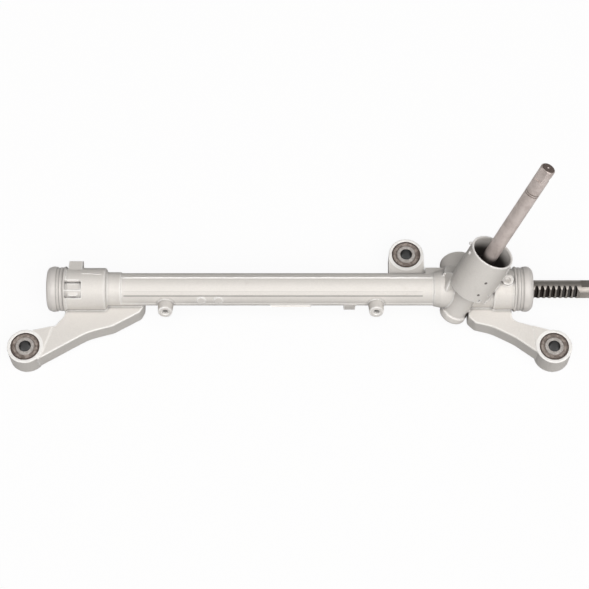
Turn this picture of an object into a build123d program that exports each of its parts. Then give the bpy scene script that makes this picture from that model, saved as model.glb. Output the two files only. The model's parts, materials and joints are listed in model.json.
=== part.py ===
from build123d import *
from math import acos, atan, cos, degrees, pi, radians, sin, tan
import os

# Place of the rack bar, from the middle of the two front bolts on the face the bushes rest on
bar_y = 75.0
bar_z = 37.0
tooth_tilt = 20.5

# Rack bar
bar_d = 22.5
bar_length = 650.0
bar_shift = 58.0
bar_end_chamfer = 1.5
tie_rod_drill_d = 12.5
tie_rod_drill_depth = 20.0
drill_to_teeth = 3.6
spanner_flat_across = 19.0
spanner_flat_length = 14.0
spanner_flat_inset = 6.0

# Gear pair
tooth_module = 2.2
pinion_teeth = 7
helix = 22.0
pressure = 20.0
profile_shift = 0.5
pinion_top = 1.225
backlash = 0.15
tip_clearance = 0.35
rack_gap_count = 25
tooth_land_height = 8.4
land_runout = 3.0
pinion_x = 215.0
pinion_face = 28.0

# Pinion shaft, measured along its axis from the mesh
shaft_d = 18.0
shaft_tip = 228.0
shaft_tip_chamfer = 1.2
shaft_foot = 29.0
journal_d = 15.0
journal_top = 14.5
collar_d = 22.0
flat_across = 15.4
flat_length = 18.0
flat_turn = -43.0
pinch_turn = 78.0
pinch_from_tip = 12.0
pinch_r = 6.0
pinch_depth = 1.8
groove_from_tip = 39.0
groove_width = 1.1
groove_gap = 1.6
groove_depth = 0.5
centre_drill_d = 3.2

# Upper bearing
bearing_od = 40.0
bearing_width = 12.0
bearing_floor = 30.0
ball_d = 6.35
ball_count = 9
ring_wall = 3.3
cage_wall = 1.6
cage_height = 8.0
shaft_clip_d = 22.6
shaft_clip_groove = 0.6
shaft_clip_opening = 4.0
clip_width = 1.2
housing_clip_reach = 1.4
housing_clip_width = 1.75
housing_clip_band = 2.4
housing_clip_opening = 8.0

# Seal above the bearing
seal_gap_above_clip = 1.4
seal_height = 7.0
seal_lip = 2.0

# Lower needle bearing and cap
needle_d = 2.0
needle_count = 15
needle_cup_wall = 1.0
needle_cup_length = 12.0
needle_cup_from_foot = 3.0
needle_end_play = 0.2
cap_d = 25.0
cap_thickness = 2.0
cap_inset = 0.8
needle_cup_lip = 0.8

# Running and seating clearances
running = 0.05
snug = 0.02

# Tube and barrels of the casting, along the bar axis
tube_d = 40.0
tube_bore_d = 29.0
left_end = -301.3
right_end = 302.0
tube_left = -210.2
tube_right = 178.5
left_collar_d = 42.4
left_collar_start = -226.0
left_barrel_d = 53.0
left_barrel_inner = -230.8
right_collar_start_d = 42.6
right_collar_d = 46.4
right_collar_run = 9.0
right_barrel_d = 51.5
right_barrel_inner = 252.6
rim_bead_d = 57.0
rim_groove_d = 53.6
rim_ring_d = 54.8
rim_shoulder_d = 56.6
barrel_bore_d = 45.0
left_barrel_floor = -232.0
right_barrel_floor = 264.0
bar_passage_d = 25.0
passage_start = 190.0

# Tower that holds the pinion, along the pinion axis
tower_d = 30.4
tower_foot = -33.0
foot_ring_d = 34.0
foot_ring_height = 10.0
cup_d = 54.6
cup_floor = 21.6
cup_rim = 84.0
cup_wall = 3.0
cup_foot_round = 3.0
pinion_room = 1.2
rim_nub = 3.4
pit_d = 3.4
pit_depth = 1.6
pit_places = ((12.0, 42.0), (3.5, 18.0))
nick_turn = -2.0
nick_width = 1.8
nick_depth = 1.4

# Yoke, along the line from the bar away from the pinion
yoke_boss_d = 45.4
yoke_boss_shift = -2.2
yoke_boss_end = 45.0
yoke_d = 30.0
yoke_front = 2.5
yoke_back = 27.0
liner_thickness = 0.7
plug_thread_d = 34.0
plug_length = 13.0
plug_inset = 2.2
plug_thread_run = 0.5
plug_hex = 17.0
plug_hex_depth = 7.0
yoke_pocket_d = 14.0
yoke_pocket_depth = 6.0
yoke_groove_depth = 1.6
spring_thickness = 1.4
spring_inner_d = 10.0
spring_outer_d = 25.0

# Arms and bosses with the rubber bushes
bolt_span = 654.0
rear_bolt_x = 147.3
rear_bolt_y = 126.2
sleeve_length = 32.0
boss_d = 44.6
boss_height = 30.0
arm_height = 24.0
boss_step = 0.8
bush_d = 36.0
bush_shell_wall = 1.4
sleeve_d = 23.0
bolt_hole_d = 14.2
rubber_recess = 3.0
sleeve_chamfer = 0.6
root_past_bar = 2.0
undercut_start = 12.0
undercut_rise = 10.0
cove = 10.0

# Tapped stubs on the tooth side of the tube
stub_left_x = -154.4
stub_right_x = 107.6
stub_d = 17.8
stub_reach = 33.4
stub_drop = 7.7
stub_root = 8.0
stub_draft = 1.8
stub_drill_d = 6.8
stub_drill_depth = 16.0

# Cast details of the tube
pad_places = (-110.0, -88.6)
pad_d = 10.7
pad_proud = 0.7
band_low_angle = 19.5
band_high_angle = 36.0
band_proud = 0.8
parting_width = 1.4
parting_proud = 0.5
rib_tab_x = 74.6
rib_tab_width = 14.4
label_pad_x = 1.0
label_pad_length = 50.0
label_pad_proud = 2.4

# Cast details of the left barrel, in a cross-section that leans back
lug_tilt = 25.0
barrel_lug_x = -266.9
barrel_lug_width = 17.2
barrel_lug_reach = 35.0
barrel_lug_slope = 10.7
barrel_lug_foot = -10.0
barrel_lug_root = 15.0
window_x = -268.5
window_width = 20.4
window_back = 11.6
window_back_depth = 21.4
window_back_slope = 3.2
window_ridge_back = -1.0
window_ridge_front = -2.4
window_ridge_height = 25.6
window_front = -11.0
window_front_depth = 21.6
window_top = 30.0
window_tab_back = -3.0
window_tab_front = -8.8
window_tab_height = 24.8

# Round mark on top of the right barrel
mark_x = 269.5
mark_d = 14.6
mark_height = 28.6
mark_cone_d = 8.8

# Web that ties the cup to the right barrel, tangent to the cup at a turn from the tooth side
web_turn = 60.0
web_reach = 34.0
web_low = 12.0
web_high = 58.0

# Shoulder on the left of the cup, sideways from the pinion and along the rise of the tooth side
shoulder_outline = [(-30.0, 3.0), (-24.5, 27.0), (0.0, 27.0), (0.0, 3.0)]
shoulder_reach = 19.0
shoulder_slope = 16.0

# Rib behind the bar between the rear lug and the yoke boss, in a cross-section of the bar
rib_outline = [(8.0, 18.0), (27.5, 5.6), (27.5, -12.0), (8.0, -12.0)]

# Outlines of the two front arms from above, sideways from their bolts and in depth from the bolt line
left_arm_outline = [
    (48.0, bar_y + root_past_bar),
    (47.0, 43.0),
    (35.5, 28.4),
    (8.0, 22.4),
    (0.0, 0.0),
    (16.5, -16.8),
    (76.0, 19.0),
    (107.0, 27.6),
    (140.5, 47.0),
    (145.0, 56.0),
    (145.0, bar_y + root_past_bar),
]
left_arm_rounds = {1: 14.0, 2: 6.0, 6: 70.0, 7: 18.0, 8: 7.0, 9: 6.0}
right_arm_outline = [
    (-50.0, bar_y + root_past_bar),
    (-50.0, 38.5),
    (-44.0, 34.0),
    (-4.0, 22.4),
    (0.0, 0.0),
    (-17.0, -11.0),
    (-47.0, 12.0),
    (-75.0, 26.8),
    (-96.0, 32.0),
    (-104.4, 40.5),
    (-104.4, bar_y + root_past_bar),
]
right_arm_rounds = {1: 7.0, 2: 16.0, 6: 70.0, 7: 50.0, 8: 9.0, 9: 6.0}

# Flush faces beside the front bosses, a step above the arms
left_boss_face = [(0.0, 0.0), (8.0, 22.2), (32.5, 27.8), (18.6, -15.4)]
right_boss_face = [(0.0, 0.0), (-4.0, 22.2), (-24.6, 28.4), (-20.4, -8.0)]

# Bar bush at the far end of the tube
bush_start = -229.0
bush_length = 22.0
bush_seat_d = 31.0
bush_slit_count = 3
bush_slit_width = 1.2
bush_ring_shares = (0.3, 0.7)
bush_slit_share = 0.6
oring_d = 1.8
oring_side_play = 0.2
retaining_width = 1.5
retaining_reach = 1.6
retaining_opening = 5.0


# Directions: the rack teeth look to the front and a little up
to_teeth = Vector(0, -cos(radians(tooth_tilt)), sin(radians(tooth_tilt)))
rise = Vector(0, sin(radians(tooth_tilt)), cos(radians(tooth_tilt)))
rightward = Vector(1, 0, 0)
bar_point = Vector(0, bar_y, bar_z)
bar_line = Axis(bar_point, rightward)
bar_r = bar_d / 2
tube_r = tube_d / 2

# Gear pair, worked out from the module and the two angles
helix_a = radians(helix)
pressure_a = radians(pressure)
rack_pitch = pi * tooth_module
pitch_r = tooth_module * pinion_teeth / (2 * cos(helix_a))
cross_pressure = atan(tan(pressure_a) / cos(helix_a))
base_r = pitch_r * cos(cross_pressure)
rack_tip_above_pitch = (1 - profile_shift) * tooth_module
gear_distance = tooth_land_height - rack_tip_above_pitch + pitch_r
pinion_tip_r = pitch_r + pinion_top * tooth_module
pinion_root_r = gear_distance - tooth_land_height - tip_clearance
pinion_thickness = tooth_module * (pi / 2 + 2 * profile_shift * tan(pressure_a))
rack_root_height = gear_distance - pinion_tip_r - tip_clearance
toothed_half = rack_gap_count * rack_pitch / 2
toothed_middle = pinion_x + bar_shift
bar_right = toothed_middle + toothed_half + drill_to_teeth + tie_rod_drill_depth
bar_left = bar_right - bar_length

pinion_way = rightward * sin(helix_a) + rise * cos(helix_a)
pinion_side = to_teeth.cross(pinion_way)
pinion_centre = bar_point + rightward * pinion_x + to_teeth * gear_distance
pinion_line = Axis(pinion_centre, pinion_way)
yoke_point = bar_point + rightward * pinion_x

# Planes: along the bar, across the bar, across the pinion, through the pinion, across the yoke
bar_plane = Plane(origin=bar_point, x_dir=rightward, z_dir=to_teeth)
turn_plane = Plane(origin=pinion_centre, x_dir=to_teeth, z_dir=pinion_side)
yoke_turn_plane = Plane(origin=yoke_point, x_dir=rightward, z_dir=rise)
yoke_line = Axis(yoke_point, to_teeth * -1)


def bar_cross(x):
    return Plane(origin=bar_point + rightward * x, x_dir=(0, 1, 0), z_dir=rightward)


def end_plane(x):
    # Cross-section with its x direction on the tooth side
    return Plane(origin=bar_point + rightward * x, x_dir=to_teeth, z_dir=rightward)


def lean_plane(x):
    # Cross-section with its x direction to the back and up by the lean
    back = (0, cos(radians(lug_tilt)), sin(radians(lug_tilt)))
    return Plane(origin=bar_point + rightward * x, x_dir=back, z_dir=rightward)


def polar(radius, angle):
    return (radius * cos(angle), radius * sin(angle))


def tooth_plane(x, height):
    return Plane(origin=bar_point + rightward * x + to_teeth * height, x_dir=rightward, z_dir=to_teeth)


def pinion_cross(t):
    return Plane(origin=pinion_centre + pinion_way * t, x_dir=to_teeth, z_dir=pinion_way)


def yoke_cross(depth):
    return Plane(origin=yoke_point - to_teeth * depth, x_dir=rightward, z_dir=to_teeth * -1)


def cup_wall_plane(level, turn):
    # Plane on the outside of the cup, turned from the tooth side to the right
    outward = to_teeth * cos(radians(turn)) + pinion_side * -sin(radians(turn))
    return Plane(origin=pinion_centre + pinion_way * level + outward * (cup_d / 2), z_dir=outward)


def turned(points, plane, line):
    # A closed outline turned a full circle about a line in its plane
    with BuildPart() as piece:
        with BuildSketch(plane):
            with BuildLine():
                Polyline(*points, close=True)
            make_face()
        revolve(axis=line)
    return piece.part


def tube_piece(plane, inner_r, outer_r, length):
    # A plain ring or, with no inner radius, a disc
    with BuildPart() as piece:
        with BuildSketch(plane):
            Circle(outer_r)
            if inner_r > 0:
                Circle(inner_r, mode=Mode.SUBTRACT)
        extrude(amount=length)
    return piece.part


def keep(piece, name):
    piece.label = name
    export_step(piece, "parts/" + name + ".step")


os.makedirs("parts", exist_ok=True)


# Levels of the arms and bosses, from the face that the bush sleeves rest on
sleeve_proud = (sleeve_length - boss_height) / 2
boss_foot = sleeve_proud
boss_top = boss_foot + boss_height
arm_top = boss_top - boss_step
arm_foot = arm_top - arm_height
front_bolts = [(-bolt_span / 2, 0.0), (bolt_span / 2, 0.0)]
rear_bolt = (rear_bolt_x, rear_bolt_y)
boss_r = boss_d / 2
edge_round = 1.5


def rim_points(end_x, inward, body_r):
    # Barrel end: bead and groove for the bellows clip, then the shoulder ring
    steps = [
        (0.0, body_r - 2.2),
        (0.5, body_r - 1.2),
        (1.8, body_r + 0.2),
        (4.0, rim_bead_d / 2 - 0.8),
        (7.0, rim_bead_d / 2),
        (10.0, rim_bead_d / 2 - 0.2),
        (12.6, rim_bead_d / 2 - 0.9),
        (13.4, rim_groove_d / 2),
        (15.2, rim_groove_d / 2),
        (15.8, rim_ring_d / 2),
        (18.2, rim_ring_d / 2),
        (18.8, rim_groove_d / 2),
        (19.6, rim_groove_d / 2),
        (20.3, rim_shoulder_d / 2 - 0.3),
        (21.0, rim_shoulder_d / 2),
        (22.8, rim_shoulder_d / 2),
        (23.4, body_r),
    ]
    return [(end_x + inward * step, radius) for step, radius in steps]


def undercut(front):
    # Wedge to cut away under the root of an arm, up to the underside of the tube
    with BuildPart() as wedge:
        with BuildSketch(Plane.YZ):
            with BuildLine():
                Polyline(
                    (bar_y - front * undercut_start, arm_foot - 1),
                    (bar_y + front * 4, arm_foot - 1),
                    (bar_y + front * 4, arm_foot + undercut_rise),
                    (bar_y - front * undercut_start, arm_foot),
                    close=True,
                )
            make_face()
        extrude(amount=bolt_span, both=True)
    return wedge.part


front_undercut = undercut(1)
back_undercut = undercut(-1)


def front_arm(bolt, points, rounds, boss_face):
    # Arm from a barrel forward to a front bolt; its boss and the face beside it stand a step higher
    corners = [(bolt[0] + x, bolt[1] + y) for x, y in points]
    face = [(bolt[0] + x, bolt[1] + y) for x, y in boss_face]
    with BuildPart() as arm:
        with BuildSketch(Plane.XY.offset(arm_foot)) as outline:
            with BuildLine():
                Polyline(*corners, close=True)
            make_face()
            for index, radius in rounds.items():
                x, y = corners[index]
                corner = outline.vertices().sort_by_distance((x, y, arm_foot))[0]
                fillet(corner, radius)
        extrude(amount=arm_height)
        fillet(arm.faces().sort_by(Axis.Z)[-1].edges(), edge_round)
        with BuildSketch(Plane.XY.offset(boss_foot)):
            with Locations(bolt):
                Circle(boss_r)
        extrude(amount=boss_height)
        with BuildSketch(Plane.XY.offset(arm_top - edge_round)):
            with BuildLine():
                Polyline(*face, close=True)
            make_face()
        extrude(amount=edge_round + boss_step)
        add(front_undercut, mode=Mode.SUBTRACT)
    return arm.part


def rear_lug():
    # Lug behind the tube for the third bolt, with a hollow fillet up to the tube
    bx, by = rear_bolt
    root_half = boss_r + 1.2
    with BuildPart() as lug:
        with BuildSketch(Plane.XY.offset(arm_foot)):
            with BuildLine():
                Polyline(
                    (bx - root_half, bar_y),
                    (bx - boss_r + 0.4, by),
                    (bx + boss_r - 0.4, by),
                    (bx + root_half, bar_y),
                    close=True,
                )
            make_face()
        extrude(amount=boss_top - arm_foot)
        with BuildSketch(Plane.XY.offset(boss_foot)):
            with Locations((bx, by)):
                Circle(boss_r - 0.4)
        extrude(amount=boss_height)
        with BuildSketch(Plane.YZ.offset(bx - root_half + 1)):
            with BuildLine():
                cove_start = (bar_y + tube_r - 3 + cove, boss_top)
                cove_end = (bar_y + tube_r - 3, boss_top + cove)
                RadiusArc(cove_start, cove_end, cove)
                Polyline(
                    cove_end,
                    (bar_y, boss_top + cove),
                    (bar_y, boss_top - 2),
                    (cove_start[0], boss_top - 2),
                    cove_start,
                )
            make_face()
        extrude(amount=2 * (root_half - 1))
        add(back_undercut, mode=Mode.SUBTRACT)
    return lug.part


def tower():
    # Tower for the pinion: slim foot with the lower bearing, wide cup above
    tower_r = tower_d / 2
    cup_r = cup_d / 2
    foot_ring_r = foot_ring_d / 2
    with BuildPart() as body:
        with BuildSketch(turn_plane) as outline:
            with BuildLine():
                Polyline(
                    (0, tower_foot),
                    (foot_ring_r, tower_foot),
                    (foot_ring_r, tower_foot + foot_ring_height),
                    (tower_r, tower_foot + foot_ring_height + 1),
                    (tower_r, cup_floor),
                    (cup_r, cup_floor),
                    (cup_r, cup_rim),
                    (0, cup_rim),
                    close=True,
                )
            make_face()
            corners = outline.vertices()
            ring_corners = corners.filter_by_position(Axis.X, foot_ring_r - 0.1, foot_ring_r + 0.1)
            cup_corners = corners.filter_by_position(Axis.X, cup_r - 0.1, cup_r + 0.1)
            fillet(ring_corners.sort_by(Axis.Y)[0], foot_ring_r - cap_d / 2 - 0.8)
            fillet(cup_corners.sort_by(Axis.Y)[0], cup_foot_round)
        revolve(axis=pinion_line)
        # Two nubs beside the rim, to the left of the shaft
        for level, spread in ((cup_rim - 5, -8), (cup_rim - 10, 3)):
            with BuildSketch(pinion_cross(level)):
                with Locations((spread, -cup_r)):
                    Rectangle(rim_nub, rim_nub)
            extrude(amount=rim_nub)
    return body.part


def web():
    # Web tangent to the cup, down to the right barrel
    turn = radians(web_turn)
    touch = polar(cup_d / 2, turn)
    foot = (touch[0] - sin(turn) * web_reach, touch[1] + cos(turn) * web_reach)
    with BuildPart() as body:
        with BuildSketch(pinion_cross(web_low)):
            with BuildLine():
                Polyline((0, 0), touch, foot, (foot[0], 0), close=True)
            make_face()
        extrude(amount=web_high - web_low)
    return body.part


def shoulder():
    # Shoulder with sloping sides on the left of the cup, above the collar of the tube
    with BuildPart() as body:
        with BuildSketch(tooth_plane(pinion_x, 0)):
            with BuildLine():
                Polyline(*shoulder_outline, close=True)
            make_face()
        extrude(amount=shoulder_reach, taper=shoulder_slope)
    return body.part


def stub_plane(x, height):
    # Plane across a stub; its axis passes below the bar
    foot = bar_point + rightward * x - rise * stub_drop
    return Plane(origin=foot + to_teeth * height, x_dir=rightward, z_dir=to_teeth)


def tapped_stub(x):
    # Round stub on the tooth side, wider towards its root in the wall of the tube
    stub_r = stub_d / 2
    side_plane = Plane(origin=stub_plane(x, 0).origin, x_dir=rightward, z_dir=rise * -1)
    with BuildPart() as stub:
        with BuildSketch(side_plane):
            with BuildLine():
                Polyline(
                    (0, stub_root),
                    (stub_r + stub_draft, stub_root),
                    (stub_r, stub_reach - 0.8),
                    (stub_r - 0.8, stub_reach),
                    (0, stub_reach),
                    close=True,
                )
            make_face()
        revolve(axis=Axis(side_plane.origin, to_teeth))
    return stub.part


# Solids of the casting's limbs, made by themselves
left_arm_body = front_arm(front_bolts[0], left_arm_outline, left_arm_rounds, left_boss_face)
right_arm_body = front_arm(front_bolts[1], right_arm_outline, right_arm_rounds, right_boss_face)
rear_lug_body = rear_lug()
tower_body = tower()
web_body = web()
shoulder_body = shoulder()
stubs = [tapped_stub(stub_left_x), tapped_stub(stub_right_x)]

cup_bore_r = cup_d / 2 - cup_wall
seal_floor = bearing_floor + bearing_width + housing_clip_width + seal_gap_above_clip
seal_top = seal_floor + seal_height
needle_cup_r = journal_d / 2 + needle_d + needle_cup_wall
needle_floor = -shaft_foot + needle_cup_from_foot
pinion_bore_r = pinion_tip_r + pinion_room

with BuildPart() as housing:
    # Tube with a barrel at each end
    with BuildSketch(bar_plane):
        with BuildLine():
            Polyline(
                (left_end, 0),
                *rim_points(left_end, 1, left_barrel_d / 2),
                (left_barrel_inner, left_barrel_d / 2),
                (left_barrel_inner + 1.5, left_barrel_d / 2 - 0.5),
                (left_barrel_inner + 2.5, left_barrel_d / 2 - 1.6),
                (left_barrel_inner + 3.1, left_collar_d / 2 + 1.3),
                (left_collar_start, left_collar_d / 2),
                (tube_left, left_collar_d / 2),
                (tube_left + 0.8, tube_r),
                (tube_right, tube_r),
                (tube_right + 0.8, right_collar_start_d / 2),
                (tube_right + right_collar_run, right_collar_d / 2),
                (right_barrel_inner, right_collar_d / 2),
                (right_barrel_inner + 0.4, right_barrel_d / 2 - 0.9),
                (right_barrel_inner + 1.4, right_barrel_d / 2),
                *reversed(rim_points(right_end, -1, right_barrel_d / 2)),
                (right_end, 0),
                close=True,
            )
        make_face()
    revolve(axis=bar_line)
    add(left_arm_body)
    add(right_arm_body)
    add(rear_lug_body)
    add(tower_body)
    for stub in stubs:
        add(stub)

    # Yoke boss on the far side of the bar from the pinion, a little off its bore
    with BuildSketch(yoke_cross(bar_r)):
        with Locations((yoke_boss_shift, 0)):
            Circle(yoke_boss_d / 2)
    extrude(amount=yoke_boss_end - bar_r)

    add(web_body)
    add(shoulder_body)

    # Rib between the rear lug and the yoke boss
    with BuildSketch(bar_cross(rear_bolt_x + boss_r)):
        with BuildLine():
            Polyline(*rib_outline, close=True)
        make_face()
    extrude(amount=pinion_x - rear_bolt_x - boss_r)

    # Lug on the back of the left barrel
    with BuildSketch(lean_plane(barrel_lug_x - barrel_lug_width / 2)):
        with BuildLine():
            Polyline(
                (barrel_lug_root, barrel_lug_foot - 4),
                (barrel_lug_reach, barrel_lug_foot),
                (barrel_lug_reach, 0),
                (barrel_lug_reach - barrel_lug_slope, barrel_lug_slope),
                (barrel_lug_root - 5, barrel_lug_root + 1),
                close=True,
            )
        make_face()
    extrude(amount=barrel_lug_width)

    # Raised band along the tube, and the parting ridges of the casting mould
    band_inner = tube_r - 1
    band_outer = tube_r + band_proud
    with BuildSketch(end_plane(tube_left)):
        with BuildLine():
            low = radians(band_low_angle)
            high = radians(band_high_angle)
            middle = (low + high) / 2
            Line(polar(band_inner, low), polar(band_outer, low))
            ThreePointArc(polar(band_outer, low), polar(band_outer, middle), polar(band_outer, high))
            Line(polar(band_outer, high), polar(band_inner, high + 0.05))
            Line(polar(band_inner, high + 0.05), polar(band_inner, low))
        make_face()
        for side in (1, -1):
            with Locations((0, side * tube_r)):
                Rectangle(parting_width, 2 * parting_proud)
    extrude(amount=tube_right - tube_left + 0.5)

    # Two round pads on the tooth side of the tube
    for x in pad_places:
        with BuildSketch(tooth_plane(x, tube_r - 6)):
            Circle(pad_d / 2)
        extrude(amount=6 + pad_proud)

    # Square tab under the front of the tube, and the flat pad below its middle
    with BuildSketch(Plane.XZ.offset(-bar_y)):
        with Locations((rib_tab_x, bar_z - 8)):
            Rectangle(rib_tab_width, 16)
    extrude(amount=tube_r + 1)
    with BuildSketch(lean_plane(label_pad_x - label_pad_length / 2)):
        with Locations((-tube_r, 0)):
            Rectangle(2 * label_pad_proud, 15)
    extrude(amount=label_pad_length)

    # Round mark on top of the right barrel
    with BuildSketch(Plane.XY.offset(bar_z + tube_r)):
        with Locations((mark_x, bar_y)):
            Circle(mark_d / 2)
    extrude(amount=mark_height - tube_r)
    with BuildSketch(Plane.XY.offset(bar_z + mark_height)):
        with Locations((mark_x, bar_y)):
            Circle(mark_cone_d / 2)
    extrude(amount=-2.4, taper=35, mode=Mode.SUBTRACT)

    # Window-like hollow in the front of the left barrel, with a ridge and a tab
    with BuildSketch(lean_plane(window_x - window_width / 2)):
        with BuildLine():
            Polyline(
                (window_back - window_back_slope, window_back_depth),
                (window_back, window_back_depth + window_back_slope),
                (window_back, window_top),
                (window_ridge_back, window_top),
                (window_ridge_back, window_ridge_height),
                close=True,
            )
        make_face()
        with BuildLine():
            Polyline(
                (window_ridge_front, window_ridge_height),
                (window_ridge_front, window_top),
                (window_front, window_top),
                (window_front, window_front_depth),
                close=True,
            )
        make_face()
    extrude(amount=window_width, mode=Mode.SUBTRACT)
    with BuildSketch(lean_plane(window_x - window_width / 4)):
        with BuildLine():
            Polyline(
                (window_tab_back, window_front_depth),
                (window_tab_back, window_tab_height),
                (window_tab_front, window_tab_height),
                (window_tab_front, window_front_depth),
                close=True,
            )
        make_face()
    extrude(amount=window_width / 2)

    # Bores: barrels, tube, bar passage and the seat of the bar bush
    with BuildSketch(bar_plane):
        with BuildLine():
            Polyline(
                (left_end, 0),
                (left_end, barrel_bore_d / 2),
                (left_barrel_floor, barrel_bore_d / 2),
                (left_barrel_floor, bush_seat_d / 2),
                (bush_start + bush_length, bush_seat_d / 2),
                (bush_start + bush_length, tube_bore_d / 2),
                (passage_start, tube_bore_d / 2),
                (passage_start, bar_passage_d / 2),
                (right_barrel_floor, bar_passage_d / 2),
                (right_barrel_floor, barrel_bore_d / 2),
                (right_end, barrel_bore_d / 2),
                (right_end, 0),
                close=True,
            )
        make_face()
    revolve(axis=bar_line, mode=Mode.SUBTRACT)

    # Bore of the tower: cap, lower bearing, pinion, upper bearing with its clip groove, seal, open cup
    with BuildSketch(turn_plane):
        with BuildLine():
            Polyline(
                (0, tower_foot),
                (cap_d / 2, tower_foot),
                (cap_d / 2, tower_foot + cap_inset + cap_thickness),
                (needle_cup_r, tower_foot + cap_inset + cap_thickness),
                (needle_cup_r, needle_floor + needle_cup_length),
                (pinion_bore_r, needle_floor + needle_cup_length),
                (pinion_bore_r, bearing_floor),
                (bearing_od / 2, bearing_floor),
                (bearing_od / 2, bearing_floor + bearing_width),
                (bearing_od / 2 + housing_clip_reach, bearing_floor + bearing_width),
                (bearing_od / 2 + housing_clip_reach, bearing_floor + bearing_width + housing_clip_width),
                (bearing_od / 2, bearing_floor + bearing_width + housing_clip_width),
                (bearing_od / 2, seal_top + 0.5),
                (cup_bore_r, seal_top + 1.5),
                (cup_bore_r, cup_rim - 1.2),
                (cup_bore_r + 1.2, cup_rim),
                (0, cup_rim),
                close=True,
            )
        make_face()
    revolve(axis=pinion_line, mode=Mode.SUBTRACT)

    # Bore for the yoke, wider where its plug is screwed in
    with BuildSketch(yoke_cross(0)):
        Circle(yoke_d / 2)
    extrude(amount=yoke_boss_end, mode=Mode.SUBTRACT)
    with BuildSketch(yoke_cross(yoke_boss_end)):
        Circle(plug_thread_d / 2)
    extrude(amount=-(plug_length + plug_inset + plug_thread_run), mode=Mode.SUBTRACT)

    # Bores for the three rubber bushes
    with BuildSketch(Plane.XY.offset(boss_foot)):
        with Locations(*front_bolts, rear_bolt):
            Circle(bush_d / 2)
    extrude(amount=boss_height, mode=Mode.SUBTRACT)

    # Two small pits low on the cup, and a nick in its rim
    for height, turn in pit_places:
        with BuildSketch(cup_wall_plane(cup_floor + height, turn)):
            Circle(pit_d / 2)
        extrude(amount=-pit_depth, mode=Mode.SUBTRACT)
    with BuildSketch(cup_wall_plane(cup_rim, nick_turn)):
        Rectangle(nick_width, nick_width)
    extrude(amount=-nick_depth, mode=Mode.SUBTRACT)

    # Drilled holes of the two stubs
    for x in (stub_left_x, stub_right_x):
        with Locations(stub_plane(x, stub_reach)):
            CounterSinkHole(
                radius=stub_drill_d / 2,
                counter_sink_radius=stub_drill_d / 2 + 1,
                depth=stub_drill_depth,
            )

keep(housing.part, "housing")


# Rack bar with its toothed stretch
def rack_bar():
    with BuildPart() as bar:
        with BuildSketch(bar_cross(bar_left)):
            Circle(bar_r)
        extrude(amount=bar_length)
        chamfer(bar.edges().filter_by(GeomType.CIRCLE), bar_end_chamfer)
        side_plane = Plane(origin=bar_point, x_dir=rightward, z_dir=rise * -1)
        with BuildSketch(side_plane):
            low = toothed_middle - toothed_half
            high = toothed_middle + toothed_half
            with BuildLine():
                Polyline(
                    (low, tooth_land_height),
                    (high, tooth_land_height),
                    (high + land_runout, bar_r + 0.5),
                    (low - land_runout, bar_r + 0.5),
                    close=True,
                )
            make_face()
        extrude(amount=bar_r, both=True, mode=Mode.SUBTRACT)
        pitch_height = gear_distance - pitch_r
        gap_half = (pinion_thickness + backlash) / 2
        slope = tan(pressure_a)
        top_half = gap_half + (bar_r - pitch_height) * slope
        root_half = gap_half - (pitch_height - rack_root_height) * slope
        first_gap = toothed_middle - (rack_gap_count - 1) / 2 * rack_pitch
        with BuildSketch(side_plane):
            for index in range(rack_gap_count):
                x = first_gap + index * rack_pitch
                with BuildLine():
                    Polyline(
                        (x - root_half, rack_root_height),
                        (x + root_half, rack_root_height),
                        (x + top_half, bar_r),
                        (x - top_half, bar_r),
                        close=True,
                    )
                make_face()
        extrude(amount=bar_r, both=True, mode=Mode.SUBTRACT)
        for start in (bar_left + spanner_flat_inset, bar_right - spanner_flat_inset - spanner_flat_length):
            with BuildSketch(end_plane(start)):
                Circle(bar_r + 1)
                Rectangle(bar_d + 4, spanner_flat_across, mode=Mode.SUBTRACT)
            extrude(amount=spanner_flat_length, mode=Mode.SUBTRACT)
        for end, outward in ((bar_left, rightward * -1), (bar_right, rightward)):
            with Locations(Plane(origin=bar_point + rightward * end, x_dir=(0, 1, 0), z_dir=outward)):
                CounterSinkHole(
                    radius=tie_rod_drill_d / 2,
                    counter_sink_radius=tie_rod_drill_d / 2 + 1,
                    depth=tie_rod_drill_depth,
                )
    return bar.part


keep(rack_bar(), "rack_bar")


# Pinion shaft: helical teeth, bearing journals, long input shaft
def involute_angle(radius):
    pressure_there = acos(base_r / radius)
    return tan(pressure_there) - pressure_there


def tooth_half_angle(radius):
    at_pitch = pinion_thickness / cos(helix_a) / (2 * pitch_r)
    return at_pitch + involute_angle(pitch_r) - involute_angle(radius)


def pinion_section(plane, start_angle):
    flank_radii = [base_r + (pinion_tip_r - base_r) * share / 4 for share in range(5)]
    root_half = tooth_half_angle(base_r)
    core_r = pinion_root_r * 0.8
    with BuildSketch(plane) as section:
        Circle(pinion_root_r)
        for index in range(pinion_teeth):
            middle = start_angle + 2 * pi * index / pinion_teeth
            left_flank = [polar(radius, middle + tooth_half_angle(radius)) for radius in flank_radii]
            right_flank = [polar(radius, middle - tooth_half_angle(radius)) for radius in flank_radii]
            with BuildLine():
                Spline(*left_flank)
                ThreePointArc(left_flank[-1], polar(pinion_tip_r, middle), right_flank[-1])
                Spline(*reversed(right_flank))
                Line(right_flank[0], polar(core_r, middle - root_half))
                Line(polar(core_r, middle - root_half), polar(core_r, middle + root_half))
                Line(polar(core_r, middle + root_half), left_flank[0])
            make_face()
    return section.sketch


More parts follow.
